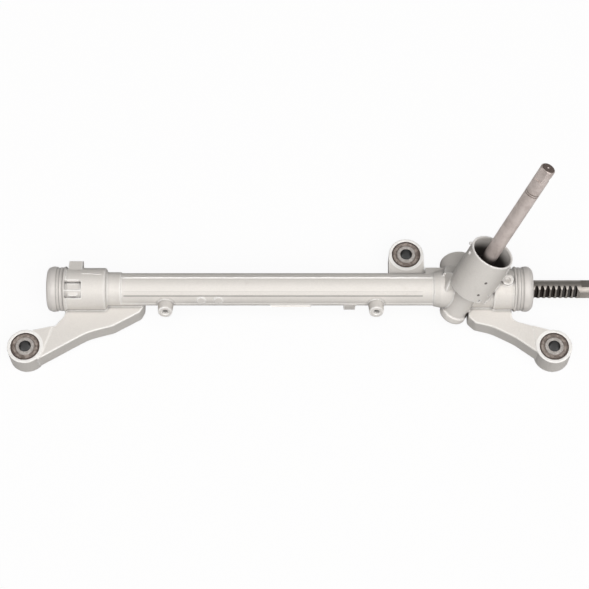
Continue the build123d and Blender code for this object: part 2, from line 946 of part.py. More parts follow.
def pinion_shaft():
    twist_per_mm = tan(helix_a) / pitch_r
    half_face = pinion_face / 2
    # A rack gap stands at the mesh when a tooth of the pinion points straight at the bar
    gap_offset = (toothed_middle - pinion_x) % rack_pitch
    if rack_gap_count % 2 == 0:
        gap_offset += rack_pitch / 2
    mesh_angle = pi - gap_offset / (pitch_r * cos(helix_a))
    start = mesh_angle - twist_per_mm * half_face
    section = pinion_section(pinion_cross(-half_face), start)
    teeth = Solid.extrude_linear_with_rotation(
        section.faces()[0],
        pinion_centre - pinion_way * half_face,
        pinion_way * pinion_face,
        degrees(twist_per_mm * pinion_face),
    )
    shaft_r = shaft_d / 2
    clip_floor = bearing_floor + bearing_width
    with BuildPart() as shaft:
        with BuildSketch(turn_plane):
            with BuildLine():
                Polyline(
                    (0, -shaft_foot),
                    (journal_d / 2 - 1, -shaft_foot),
                    (journal_d / 2, -shaft_foot + 1),
                    (journal_d / 2, -journal_top),
                    (pinion_root_r, -journal_top + 0.6),
                    (pinion_root_r, half_face),
                    (collar_d / 2 - 1.5, half_face + 1.5),
                    (collar_d / 2, half_face + 2),
                    (collar_d / 2, bearing_floor),
                    (shaft_r, bearing_floor),
                    (shaft_r, clip_floor),
                    (shaft_r - shaft_clip_groove, clip_floor),
                    (shaft_r - shaft_clip_groove, clip_floor + clip_width),
                    (shaft_r, clip_floor + clip_width),
                    (shaft_r, shaft_tip - groove_from_tip - groove_gap - groove_width),
                    (shaft_r - groove_depth, shaft_tip - groove_from_tip - groove_gap - groove_width),
                    (shaft_r - groove_depth, shaft_tip - groove_from_tip - groove_gap),
                    (shaft_r, shaft_tip - groove_from_tip - groove_gap),
                    (shaft_r, shaft_tip - groove_from_tip),
                    (shaft_r - groove_depth, shaft_tip - groove_from_tip),
                    (shaft_r - groove_depth, shaft_tip - groove_from_tip + groove_width),
                    (shaft_r, shaft_tip - groove_from_tip + groove_width),
                    (shaft_r, shaft_tip - shaft_tip_chamfer),
                    (shaft_r - shaft_tip_chamfer, shaft_tip),
                    (0, shaft_tip),
                    close=True,
                )
            make_face()
        revolve(axis=pinion_line)
        add(teeth)
        with BuildSketch(pinion_cross(shaft_tip)):
            Circle(shaft_r + 1)
            Rectangle(flat_across, shaft_d + 4, mode=Mode.SUBTRACT, rotation=flat_turn)
        extrude(amount=-flat_length, mode=Mode.SUBTRACT)
        # Notch for the pinch bolt of the joint
        outward = to_teeth * cos(radians(pinch_turn)) - pinion_side * sin(radians(pinch_turn))
        notch_centre = pinion_centre + pinion_way * (shaft_tip - pinch_from_tip)
        notch_centre += outward * (shaft_r + pinch_r - pinch_depth)
        with BuildSketch(Plane(origin=notch_centre, x_dir=pinion_way, z_dir=pinion_way.cross(outward))):
            Circle(pinch_r)
        extrude(amount=shaft_d, both=True, mode=Mode.SUBTRACT)
        with Locations(pinion_cross(shaft_tip)):
            CounterSinkHole(radius=centre_drill_d / 4, counter_sink_radius=centre_drill_d / 2, depth=4)
    return shaft.part


keep(pinion_shaft(), "pinion_shaft")


# Upper bearing: outer and inner ring with ball tracks, balls and cage
ball_track_r = (bearing_od / 2 + shaft_d / 2) / 2
bearing_middle = bearing_floor + bearing_width / 2
inner_ring_r = shaft_d / 2 + ring_wall
outer_ring_r = bearing_od / 2 - ring_wall


def bearing_ring(inner_r, outer_r):
    with BuildPart() as ring:
        with BuildSketch(turn_plane):
            with Locations(((inner_r + outer_r) / 2, bearing_middle)):
                Rectangle(outer_r - inner_r, bearing_width)
            with Locations((ball_track_r, bearing_middle)):
                Circle(ball_d / 2 + running, mode=Mode.SUBTRACT)
        revolve(axis=pinion_line)
    return ring.part


keep(bearing_ring(outer_ring_r, bearing_od / 2), "pinion_bearing_outer_ring")
keep(bearing_ring(shaft_d / 2, inner_ring_r), "pinion_bearing_inner_ring")

ball_plane = pinion_cross(bearing_middle)
with BuildPart() as balls:
    with Locations(ball_plane):
        with PolarLocations(ball_track_r, ball_count):
            Sphere(ball_d / 2)
keep(balls.part, "pinion_bearing_balls")

with BuildPart() as cage:
    with BuildSketch(pinion_cross(bearing_middle - cage_height / 2)):
        Circle(ball_track_r + cage_wall / 2)
        Circle(ball_track_r - cage_wall / 2, mode=Mode.SUBTRACT)
    extrude(amount=cage_height)
    for index in range(ball_count):
        pocket_way = ball_plane.x_dir.rotate(Axis((0, 0, 0), pinion_way), 360 * index / ball_count)
        with BuildSketch(Plane(origin=ball_plane.origin, z_dir=pocket_way)):
            Circle(ball_d / 2 + 2 * running)
        extrude(amount=bearing_od / 2, mode=Mode.SUBTRACT)
keep(cage.part, "pinion_bearing_cage")


def snap_ring(plane, inner_r, outer_r, width, opening):
    # Split retaining ring; the gap looks along the plane's x direction
    with BuildPart() as ring:
        with BuildSketch(plane):
            Circle(outer_r)
            Circle(inner_r, mode=Mode.SUBTRACT)
            with Locations(((inner_r + outer_r) / 2, 0)):
                Rectangle(2 * (outer_r - inner_r) + 2, opening, mode=Mode.SUBTRACT)
        extrude(amount=width)
    return ring.part


clip_level = bearing_floor + bearing_width
keep(
    snap_ring(
        pinion_cross(clip_level),
        shaft_d / 2 - shaft_clip_groove,
        shaft_clip_d / 2,
        clip_width,
        shaft_clip_opening,
    ),
    "shaft_snap_ring",
)
keep(
    snap_ring(
        pinion_cross(clip_level),
        bearing_od / 2 - housing_clip_band,
        bearing_od / 2 + housing_clip_reach,
        housing_clip_width,
        housing_clip_opening,
    ),
    "housing_snap_ring",
)

# Lip seal that closes the bearing room below the open cup
seal_r = bearing_od / 2
seal_inner_r = shaft_d / 2 + running
keep(
    turned(
        [
            (seal_inner_r, seal_floor + 2.2),
            (seal_inner_r + seal_lip, seal_floor + 0.4),
            (seal_inner_r + seal_lip + 1.5, seal_floor + 0.4),
            (seal_inner_r + seal_lip + 1.5, seal_top - 2),
            (seal_r - 1.6, seal_top - 2),
            (seal_r - 1.6, seal_floor),
            (seal_r, seal_floor),
            (seal_r, seal_top),
            (seal_inner_r + 1.2, seal_top),
            (seal_inner_r + 0.5, seal_top - 1.5),
            (seal_inner_r + 1.0, seal_floor + 3.4),
        ],
        turn_plane,
        pinion_line,
    ),
    "pinion_seal",
)

# Lower needle bearing in a drawn cup, and the cap pressed in below it
needle_ring_r = journal_d / 2 + running + needle_d / 2
lip_r = journal_d / 2 + 0.5
keep(
    turned(
        [
            (needle_cup_r, needle_floor),
            (needle_cup_r, needle_floor + needle_cup_length),
            (lip_r, needle_floor + needle_cup_length),
            (lip_r, needle_floor + needle_cup_length - needle_cup_lip),
            (needle_cup_r - needle_cup_wall + 2 * running, needle_floor + needle_cup_length - needle_cup_lip),
            (needle_cup_r - needle_cup_wall + 2 * running, needle_floor + needle_cup_lip),
            (lip_r, needle_floor + needle_cup_lip),
            (lip_r, needle_floor),
        ],
        turn_plane,
        pinion_line,
    ),
    "lower_bearing_cup",
)
needle_length = needle_cup_length - 2 * needle_cup_lip - 2 * needle_end_play
with BuildPart() as needles:
    with BuildSketch(pinion_cross(needle_floor + needle_cup_lip + needle_end_play)):
        with PolarLocations(needle_ring_r, needle_count):
            Circle(needle_d / 2)
    extrude(amount=needle_length)
keep(needles.part, "lower_bearing_needles")
keep(tube_piece(pinion_cross(tower_foot + cap_inset), 0, cap_d / 2, cap_thickness), "pinion_end_cap")


# Yoke that presses the bar to the pinion, its liner, ring, spring and plug
yoke_ring_level = (bar_r + yoke_back) / 2 + 1


def yoke():
    seat_r = bar_r + running + liner_thickness
    with BuildPart() as block:
        with BuildSketch(yoke_cross(yoke_front)):
            Circle(yoke_d / 2 - running)
        extrude(amount=yoke_back - yoke_front)
        with BuildSketch(bar_cross(pinion_x - yoke_d)):
            Circle(seat_r)
        extrude(amount=2 * yoke_d, mode=Mode.SUBTRACT)
        with BuildSketch(yoke_cross(yoke_back)):
            Circle(yoke_pocket_d / 2)
        extrude(amount=-yoke_pocket_depth, mode=Mode.SUBTRACT)
        with BuildSketch(yoke_cross(yoke_ring_level - oring_d / 2 - oring_side_play)):
            Circle(yoke_d / 2 + 1)
            Circle(yoke_d / 2 - yoke_groove_depth, mode=Mode.SUBTRACT)
        extrude(amount=oring_d + 2 * oring_side_play, mode=Mode.SUBTRACT)
    return block.part


keep(yoke(), "yoke")

with BuildPart() as liner:
    with BuildSketch(bar_cross(pinion_x - yoke_d / 2 + 1)):
        Circle(bar_r + running + liner_thickness)
        Circle(bar_r + running, mode=Mode.SUBTRACT)
    extrude(amount=yoke_d - 2)
    with BuildSketch(yoke_cross(yoke_front)):
        Circle(yoke_d / 2 - 0.4)
    extrude(amount=yoke_d, mode=Mode.INTERSECT)
keep(liner.part, "yoke_liner")
keep(
    turned(
        [
            (yoke_d / 2 - yoke_groove_depth, yoke_ring_level - oring_d / 2),
            (yoke_d / 2 - snug, yoke_ring_level - oring_d / 2),
            (yoke_d / 2 - snug, yoke_ring_level + oring_d / 2),
            (yoke_d / 2 - yoke_groove_depth, yoke_ring_level + oring_d / 2),
        ],
        yoke_turn_plane,
        yoke_line,
    ),
    "yoke_o_ring",
)

plug_face = yoke_boss_end - plug_inset
plug_floor = plug_face - plug_length
with BuildPart() as plug:
    with BuildSketch(yoke_cross(plug_floor)):
        Circle(plug_thread_d / 2)
    extrude(amount=plug_length)
    with BuildSketch(yoke_cross(plug_face)):
        RegularPolygon(radius=plug_hex / 2, side_count=6, major_radius=False)
    extrude(amount=-plug_hex_depth, mode=Mode.SUBTRACT)
keep(plug.part, "yoke_plug")

# Cone washer between the yoke and its plug
spring_in = spring_inner_d / 2
spring_out = spring_outer_d / 2
keep(
    turned(
        [
            (spring_in, yoke_back),
            (spring_out, plug_floor - spring_thickness),
            (spring_out, plug_floor),
            (spring_in, yoke_back + spring_thickness),
        ],
        yoke_turn_plane,
        yoke_line,
    ),
    "yoke_spring",
)


# Plain bush that carries the far end of the bar, its two rings and the snap ring
def bar_bush():
    seat_r = bush_seat_d / 2
    with BuildPart() as bush:
        with BuildSketch(bar_plane):
            with BuildLine():
                Polyline(
                    (bush_start, bar_r + running),
                    (bush_start, seat_r),
                    (bush_start + bush_length, seat_r),
                    (bush_start + bush_length, bar_r + running),
                    close=True,
                )
            make_face()
            for share in bush_ring_shares:
                with Locations((bush_start + share * bush_length, seat_r)):
                    Rectangle(oring_d + 2 * oring_side_play, 2 * oring_d, mode=Mode.SUBTRACT)
        revolve(axis=bar_line)
        with BuildSketch(bar_cross(bush_start + bush_length)):
            with PolarLocations(seat_r / 2, bush_slit_count):
                Rectangle(seat_r + 4, bush_slit_width)
        extrude(amount=-bush_length * bush_slit_share, mode=Mode.SUBTRACT)
    return bush.part


keep(bar_bush(), "bar_bush")

with BuildPart() as bush_rings:
    with BuildSketch(bar_plane):
        for share in bush_ring_shares:
            with Locations((bush_start + share * bush_length, bush_seat_d / 2 - oring_d / 2)):
                Rectangle(oring_d, oring_d)
    revolve(axis=bar_line)
keep(bush_rings.part, "bar_bush_o_rings")
keep(
    snap_ring(
        bar_cross(bush_start - retaining_width),
        bush_seat_d / 2 - retaining_reach,
        bush_seat_d / 2,
        retaining_width,
        retaining_opening,
    ),
    "bar_bush_snap_ring",
)


# Rubber bush of each mounting boss: shell, rubber and sleeve
def rubber_bush(place, name):
    x, y = place
    shell_r = bush_d / 2
    rubber_r = shell_r - bush_shell_wall
    shell = tube_piece(Plane(origin=(x, y, boss_foot)), rubber_r, shell_r, boss_height)
    keep(shell, name + "_bush_shell")
    line = Axis((x, y, 0), (0, 0, 1))
    plane = Plane(origin=(x, y, 0), x_dir=(1, 0, 0), z_dir=(0, -1, 0))
    rubber = turned(
        [
            (sleeve_d / 2, boss_foot + 1),
            (sleeve_d / 2 + 1.5, boss_foot + rubber_recess),
            (rubber_r - 1.5, boss_foot + rubber_recess),
            (rubber_r, boss_foot + 1),
            (rubber_r, boss_top - 1),
            (rubber_r - 1.5, boss_top - rubber_recess),
            (sleeve_d / 2 + 1.5, boss_top - rubber_recess),
            (sleeve_d / 2, boss_top - 1),
        ],
        plane,
        line,
    )
    keep(rubber, name + "_bush_rubber")
    with BuildPart() as sleeve:
        with BuildSketch(Plane(origin=(x, y, 0))):
            Circle(sleeve_d / 2)
            Circle(bolt_hole_d / 2, mode=Mode.SUBTRACT)
        extrude(amount=sleeve_length)
        rims = sleeve.edges().filter_by(GeomType.CIRCLE)
        foot_bore_rim = rims.group_by(Axis.Z)[0].sort_by(SortBy.RADIUS)[0]
        chamfer([rim for rim in rims if rim != foot_bore_rim], sleeve_chamfer)
    keep(sleeve.part, name + "_bush_sleeve")


rubber_bush(front_bolts[0], "left")
rubber_bush(front_bolts[1], "right")
rubber_bush(rear_bolt, "rear")
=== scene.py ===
import json
from math import radians

import bmesh
import bpy
import numpy as np
from mathutils import Matrix, Vector


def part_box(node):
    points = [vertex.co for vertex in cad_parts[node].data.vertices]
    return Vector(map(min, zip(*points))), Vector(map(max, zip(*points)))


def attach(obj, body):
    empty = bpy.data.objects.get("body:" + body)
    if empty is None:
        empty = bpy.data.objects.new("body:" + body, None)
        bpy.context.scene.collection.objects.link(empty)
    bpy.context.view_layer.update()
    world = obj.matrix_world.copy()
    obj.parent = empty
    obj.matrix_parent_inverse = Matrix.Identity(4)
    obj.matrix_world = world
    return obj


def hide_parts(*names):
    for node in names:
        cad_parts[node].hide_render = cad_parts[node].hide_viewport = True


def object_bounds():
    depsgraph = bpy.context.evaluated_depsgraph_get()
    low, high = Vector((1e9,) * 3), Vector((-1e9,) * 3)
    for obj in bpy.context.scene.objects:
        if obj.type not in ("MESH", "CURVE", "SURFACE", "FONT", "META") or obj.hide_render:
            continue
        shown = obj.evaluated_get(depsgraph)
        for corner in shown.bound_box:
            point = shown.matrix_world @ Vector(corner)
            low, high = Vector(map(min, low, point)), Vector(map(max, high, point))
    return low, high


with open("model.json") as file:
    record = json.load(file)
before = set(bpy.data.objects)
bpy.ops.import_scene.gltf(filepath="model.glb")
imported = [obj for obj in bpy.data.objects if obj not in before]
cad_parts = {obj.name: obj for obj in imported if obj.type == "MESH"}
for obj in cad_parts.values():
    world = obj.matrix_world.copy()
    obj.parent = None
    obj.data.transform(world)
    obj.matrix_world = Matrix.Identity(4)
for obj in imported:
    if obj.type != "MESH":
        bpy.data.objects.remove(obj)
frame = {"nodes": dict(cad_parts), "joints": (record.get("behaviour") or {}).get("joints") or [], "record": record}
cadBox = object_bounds()
print("frame loaded", len(frame["nodes"]), "nodes")

mm = 0.001

# Lines and directions of the steering rack, read from the frame
joints = {joint["name"]: joint for joint in frame["joints"]}
mounts = {mount["name"]: mount for mount in frame["record"]["mounts"]}
barLow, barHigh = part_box("rack_bar")
barMiddle = (barLow + barHigh) / 2
barY, barZ = barMiddle.y, barMiddle.z
leftEnd = Vector(mounts["left_bellows_rim"]["pos_m"]).x
rightEnd = Vector(mounts["right_bellows_rim"]["pos_m"]).x
pinionCentre = Vector(joints["pinion_spin"]["pos_m"])
pinionWay = Vector(joints["pinion_spin"]["axis"])
toTeeth = Vector(mounts["left_stub_thread"]["axis"])
rightward = Vector((1, 0, 0))
rise = toTeeth.cross(rightward)
pinionSide = pinionWay.cross(toTeeth)
pinionFrame = Matrix((toTeeth, pinionSide, pinionWay)).transposed()
cupRim = (Vector(mounts["cup_rim"]["pos_m"]) - pinionCentre).dot(pinionWay)
shaftCorners = frame["nodes"]["pinion_shaft"].data.vertices
shaftEnd = max((corner.co - pinionCentre).dot(pinionWay) for corner in shaftCorners)
boltHalf = mounts["front_bolts"]["dims"]["spacing_x_mm"] * mm / 2
rearBolt = Vector(mounts["rear_bolt"]["pos_m"])
boltPlaces = [Vector((-boltHalf, 0, 0)), Vector((boltHalf, 0, 0)), Vector((rearBolt.x, rearBolt.y, 0))]
sleeveMiddle = rearBolt.z


# Colours are written as sRGB hex and turned linear here
def hexColour(text):
    parts = [int(text[i:i + 2], 16) / 255 for i in (1, 3, 5)]
    linear = [part / 12.92 if part <= 0.04045 else ((part + 0.055) / 1.055) ** 2.4 for part in parts]
    return (*linear, 1.0)


# One node with its settings, its values and its links
def addNode(tree, kind, settings=None, values=None, links=None):
    node = tree.nodes.new(kind)
    for key, value in (settings or {}).items():
        setattr(node, key, value)
    for key, value in (values or {}).items():
        node.inputs[key].default_value = value
    for key, source in (links or {}).items():
        tree.links.new(source, node.inputs[key])
    return node


# Terms of a step of arithmetic: plain values and other nodes' outputs, each by its place
def splitTerms(terms):
    links = {i: term for i, term in enumerate(terms) if isinstance(term, bpy.types.NodeSocket)}
    values = {i: term for i, term in enumerate(terms) if i not in links}
    return values, links


def numberStep(tree, operation, *terms):
    return addNode(tree, "ShaderNodeMath", {"operation": operation}, *splitTerms(terms)).outputs[0]


# A step with vectors, and which of its two outputs is wanted: "Vector" or "Value"
def vectorStep(tree, operation, output, *terms):
    return addNode(tree, "ShaderNodeVectorMath", {"operation": operation}, *splitTerms(terms)).outputs[output]


# A value that goes from one result to the other between two edges, evenly or with soft ends
def ramp(tree, kind, edges, results, value):
    return addNode(tree, "ShaderNodeMapRange", {"interpolation_type": kind},
                   {"From Min": edges[0], "From Max": edges[1], "To Min": results[0], "To Max": results[1]},
                   {"Value": value}).outputs[0]


def noiseAt(tree, place, sizes):
    return addNode(tree, "ShaderNodeTexNoise", values=sizes, links={"Vector": place}).outputs["Fac"]


# A colour laid over another as far as the share says; the lower one is written as hex or is a node's output
def layOver(tree, under, tone, share):
    values, links = {"B": hexColour(tone)}, {"Factor": share}
    if isinstance(under, str):
        values["A"] = hexColour(under)
    else:
        links["A"] = under
    return addNode(tree, "ShaderNodeMix", {"data_type": "RGBA"}, values, links).outputs["Result"]


# Share of a line that is full within its inner half width and gone beyond its outer one
def softLine(tree, along, middle, halfWidths, depth, where):
    off = numberStep(tree, "SUBTRACT", along, middle)
    away = numberStep(tree, "ABSOLUTE", off)
    line = ramp(tree, "SMOOTHSTEP", halfWidths, (0, depth), away)
    return numberStep(tree, "MULTIPLY", line, where)


def newMaterial(name):
    material = bpy.data.materials.new(name)
    material.use_nodes = True
    tree = material.node_tree
    tree.nodes.clear()
    return material, tree


# Ends a material: the surface shader and the output
def finishMaterial(tree, values, links):
    shader = addNode(tree, "ShaderNodeBsdfPrincipled", values=values, links=links)
    addNode(tree, "ShaderNodeOutputMaterial", links={"Surface": shader.outputs["BSDF"]})


# Studio
studio = {
    "pixels": 589,     # of the photo, each way
    "lens": 106.17,
    "sensor": 36.0,
    "cameraPlace": (0.006, -0.8489, 2.0025),
    "cameraTilt": 25.0,
    "cameraReach": 50.0,
    "floorHalf": 12.0,
    "floorColour": "#454444",
    "floorGlow": 0.925,
    "skyTones": (0.15, 3.95),
    "skyWay": (0.12, -0.46, 0.88),
    "skyEdges": (0.68, 0.96),
    "keyPower": 5.0,
    "keyPlace": (0.5, -1.0, 1.9),
    "keySize": (0.7, 0.5),
}


def buildCamera():
    data = bpy.data.cameras.new("productCamera")
    data.sensor_width = studio["sensor"]
    data.lens = studio["lens"]
    data.clip_end = studio["cameraReach"]
    camera = bpy.data.objects.new("productCamera", data)
    camera.location = studio["cameraPlace"]
    camera.rotation_euler = (radians(studio["cameraTilt"]), 0, 0)
    bpy.context.scene.collection.objects.link(camera)
    bpy.context.scene.camera = camera


# Paper under the rack: it glows where it is seen, and takes shadows as paper does
def buildFloor():
    half = studio["floorHalf"]
    level = cadBox[0][2]
    mesh = bpy.data.meshes.new("floor")
    corners = [(-half, -half, level), (half, -half, level), (half, half, level), (-half, half, level)]
    mesh.from_pydata(corners, [], [(0, 1, 2, 3)])
    floor = bpy.data.objects.new("floor", mesh)
    bpy.context.scene.collection.objects.link(floor)
    material, tree = newMaterial("studioPaper")
    path = addNode(tree, "ShaderNodeLightPath").outputs
    direct = numberStep(tree, "MAXIMUM", path["Is Camera Ray"], path["Is Glossy Ray"])
    seen = numberStep(tree, "MAXIMUM", direct, path["Is Transmission Ray"])
    strength = numberStep(tree, "MULTIPLY", seen, studio["floorGlow"])
    paper = addNode(tree, "ShaderNodeBsdfDiffuse", values={"Color": hexColour(studio["floorColour"])})
    glow = addNode(tree, "ShaderNodeEmission", links={"Strength": strength})
    both = addNode(tree, "ShaderNodeAddShader", links={0: paper.outputs[0], 1: glow.outputs[0]})
    addNode(tree, "ShaderNodeOutputMaterial", links={"Surface": both.outputs[0]})
    mesh.materials.append(material)


# A bright dome above and before the rack, and a softbox at the camera's side
def buildLight():
    world = bpy.data.worlds.new("studioDome")
    world.use_nodes = True
    tree = world.node_tree
    tree.nodes.clear()
    way = addNode(tree, "ShaderNodeTexCoord").outputs["Generated"]
    towards = vectorStep(tree, "DOT_PRODUCT", "Value", way, Vector(studio["skyWay"]).normalized())
    level = ramp(tree, "SMOOTHSTEP", studio["skyEdges"], studio["skyTones"], towards)
    sky = addNode(tree, "ShaderNodeBackground", links={"Strength": level})
    addNode(tree, "ShaderNodeOutputWorld", links={"Surface": sky.outputs[0]})
    bpy.context.scene.world = world

    lamp = bpy.data.lights.new("softbox", "AREA")
    lamp.shape = "RECTANGLE"
    lamp.size, lamp.size_y = studio["keySize"]
    lamp.energy = studio["keyPower"]
    box = bpy.data.objects.new("softbox", lamp)
    box.location = studio["keyPlace"]
    aim = Vector(studio["keyPlace"]) - barMiddle
    box.rotation_euler = aim.to_track_quat("Z", "Y").to_euler()
    bpy.context.scene.collection.objects.link(box)
    bpy.context.scene.view_settings.view_transform = "Standard"


# Distance from the axis of the nearest of the three bolts; the front two are each other's mirror image
def boltDistance(tree, place):
    axes = addNode(tree, "ShaderNodeSeparateXYZ", links={"Vector": place}).outputs
    mirrored = numberStep(tree, "ABSOLUTE", axes["X"])
    frontPlace = addNode(tree, "ShaderNodeCombineXYZ", links={"X": mirrored, "Y": axes["Y"]}).outputs[0]
    frontAway = vectorStep(tree, "DISTANCE", "Value", frontPlace, boltPlaces[1])
    rearPlace = addNode(tree, "ShaderNodeCombineXYZ", links={"X": axes["X"], "Y": axes["Y"]}).outputs[0]
    rearAway = vectorStep(tree, "DISTANCE", "Value", rearPlace, boltPlaces[2])
    return numberStep(tree, "MINIMUM", frontAway, rearAway)


# The place as seen from the bar's axis, and how far away the axis is
def fromBarAxis(tree, place):
    offset = vectorStep(tree, "SUBTRACT", "Vector", place, (0, barY, barZ))
    aside = vectorStep(tree, "MULTIPLY", "Vector", offset, (0, 1, 1))
    return offset, vectorStep(tree, "LENGTH", "Value", aside)


# The place as seen from the pinion, with Z along its axis
def fromPinion(tree, place):
    return addNode(tree, "ShaderNodeMapping", {"vector_type": "TEXTURE"},
                   {"Location": pinionCentre, "Rotation": pinionFrame.to_euler()}, {"Vector": place}).outputs[0]


# Where the camera's line through a place of the picture meets the housing
def underPixel(column, row):
    spread = studio["sensor"] / studio["lens"] / studio["pixels"]
    half = studio["pixels"] / 2
    turn = Matrix.Rotation(radians(studio["cameraTilt"]), 3, "X")
    way = (turn @ Vector(((column - half) * spread, (half - row) * spread, -1))).normalized()
    return frame["nodes"]["housing"].ray_cast(Vector(studio["cameraPlace"]), way)[1]


waveUnit = 0.314     # metres from ring to ring in a wave texture of scale 1

# Die-cast aluminium, shot-blasted: a light, slightly warm grey skin with a fine even grain that scatters the light,
# so most of its sheen is lost. Corners are rubbed brighter, with a painted highlight. The bellows seats, the inside of
# the cup and the faces round the bushes are turned after casting, so they are smoother and paler. Painted shade
# darkens the depth of the cup.
castAluminium = {
    "colour": "#DAD5CF",
    "stain": "#C2BBB3",
    "rubbedAndHighlight": "#FFFDFA",
    "turned": "#D2CDC8",
    "faced": "#EFECE8",
    "cupShade": "#2B2623",
    "paintedShade": "#4A433F",
    "pitShade": "#4B423E",
    "metallic": 0.08,
    "sheen": 0.2,
    "roughness": 0.55,
    "roughSpread": 0.08,
    "turnedRoughness": 0.40,
    "blotches": {"Scale": 1 / (26 * mm), "Detail": 6.0, "Roughness": 0.65},
    "grain": {"Scale": 1 / (1.3 * mm), "Detail": 3.0, "Roughness": 0.7},     # the real marks, 0.3 mm, would not show
    "stainEdges": (0.56, 0.80),
    "stainMost": 0.45,
    "grainEdges": (0.3, 0.7),
    "grainTones": (0.93, 1.04),
    "relief": {"Strength": 0.35, "Distance": 0.22 * mm},
    "rings": {"Scale": waveUnit / (0.9 * mm), "Distortion": 0.4},
    "cornerRadius": 2.2 * mm,
    "cornerEdges": (0.998, 0.97),     # cosine of the angle between the rounded normal and the true one
    "cornerGain": 1.8,
    "shadeReach": 5 * mm,
    "shadeEdges": (0.93, 0.40),     # how much of the sky a corner sees
    "seatLength": 22.6 * mm,
    "seatRadius": 31 * mm,
    "seatShadeLines": {12.0 * mm: 0.40, 15.8 * mm: 0.40, 20.3 * mm: 0.50},     # distance from the rim and depth of tone
    "seatShadeWidths": (0.9 * mm, 0.3 * mm),
    "cupInside": 25.2 * mm,
    "cupFoot": 28 * mm,
    "cupShadeDepth": (4 * mm, 20 * mm),
    "cupShadeMost": 0.96,
    "faceRadius": 22.4 * mm,
    "faceHeight": 14.6 * mm,
    "bandAngles": {55.2: (0.9, 0.30), 71.0: (2.6, 0.75)},     # place, half width in degrees and depth of tone
    "bandCore": 0.4,
    "bandRun": (-206 * mm, 165 * mm),
    "pitPixels": [(486.0, 283.4), (478.3, 295.2)],     # two blow holes in the wall of the cup, found in the picture
    "pitRadius": 2.3 * mm,
    "pitCore": 0.5,
    "pitRagged": 1.2 * mm,
    "pitMost": 0.92,
}


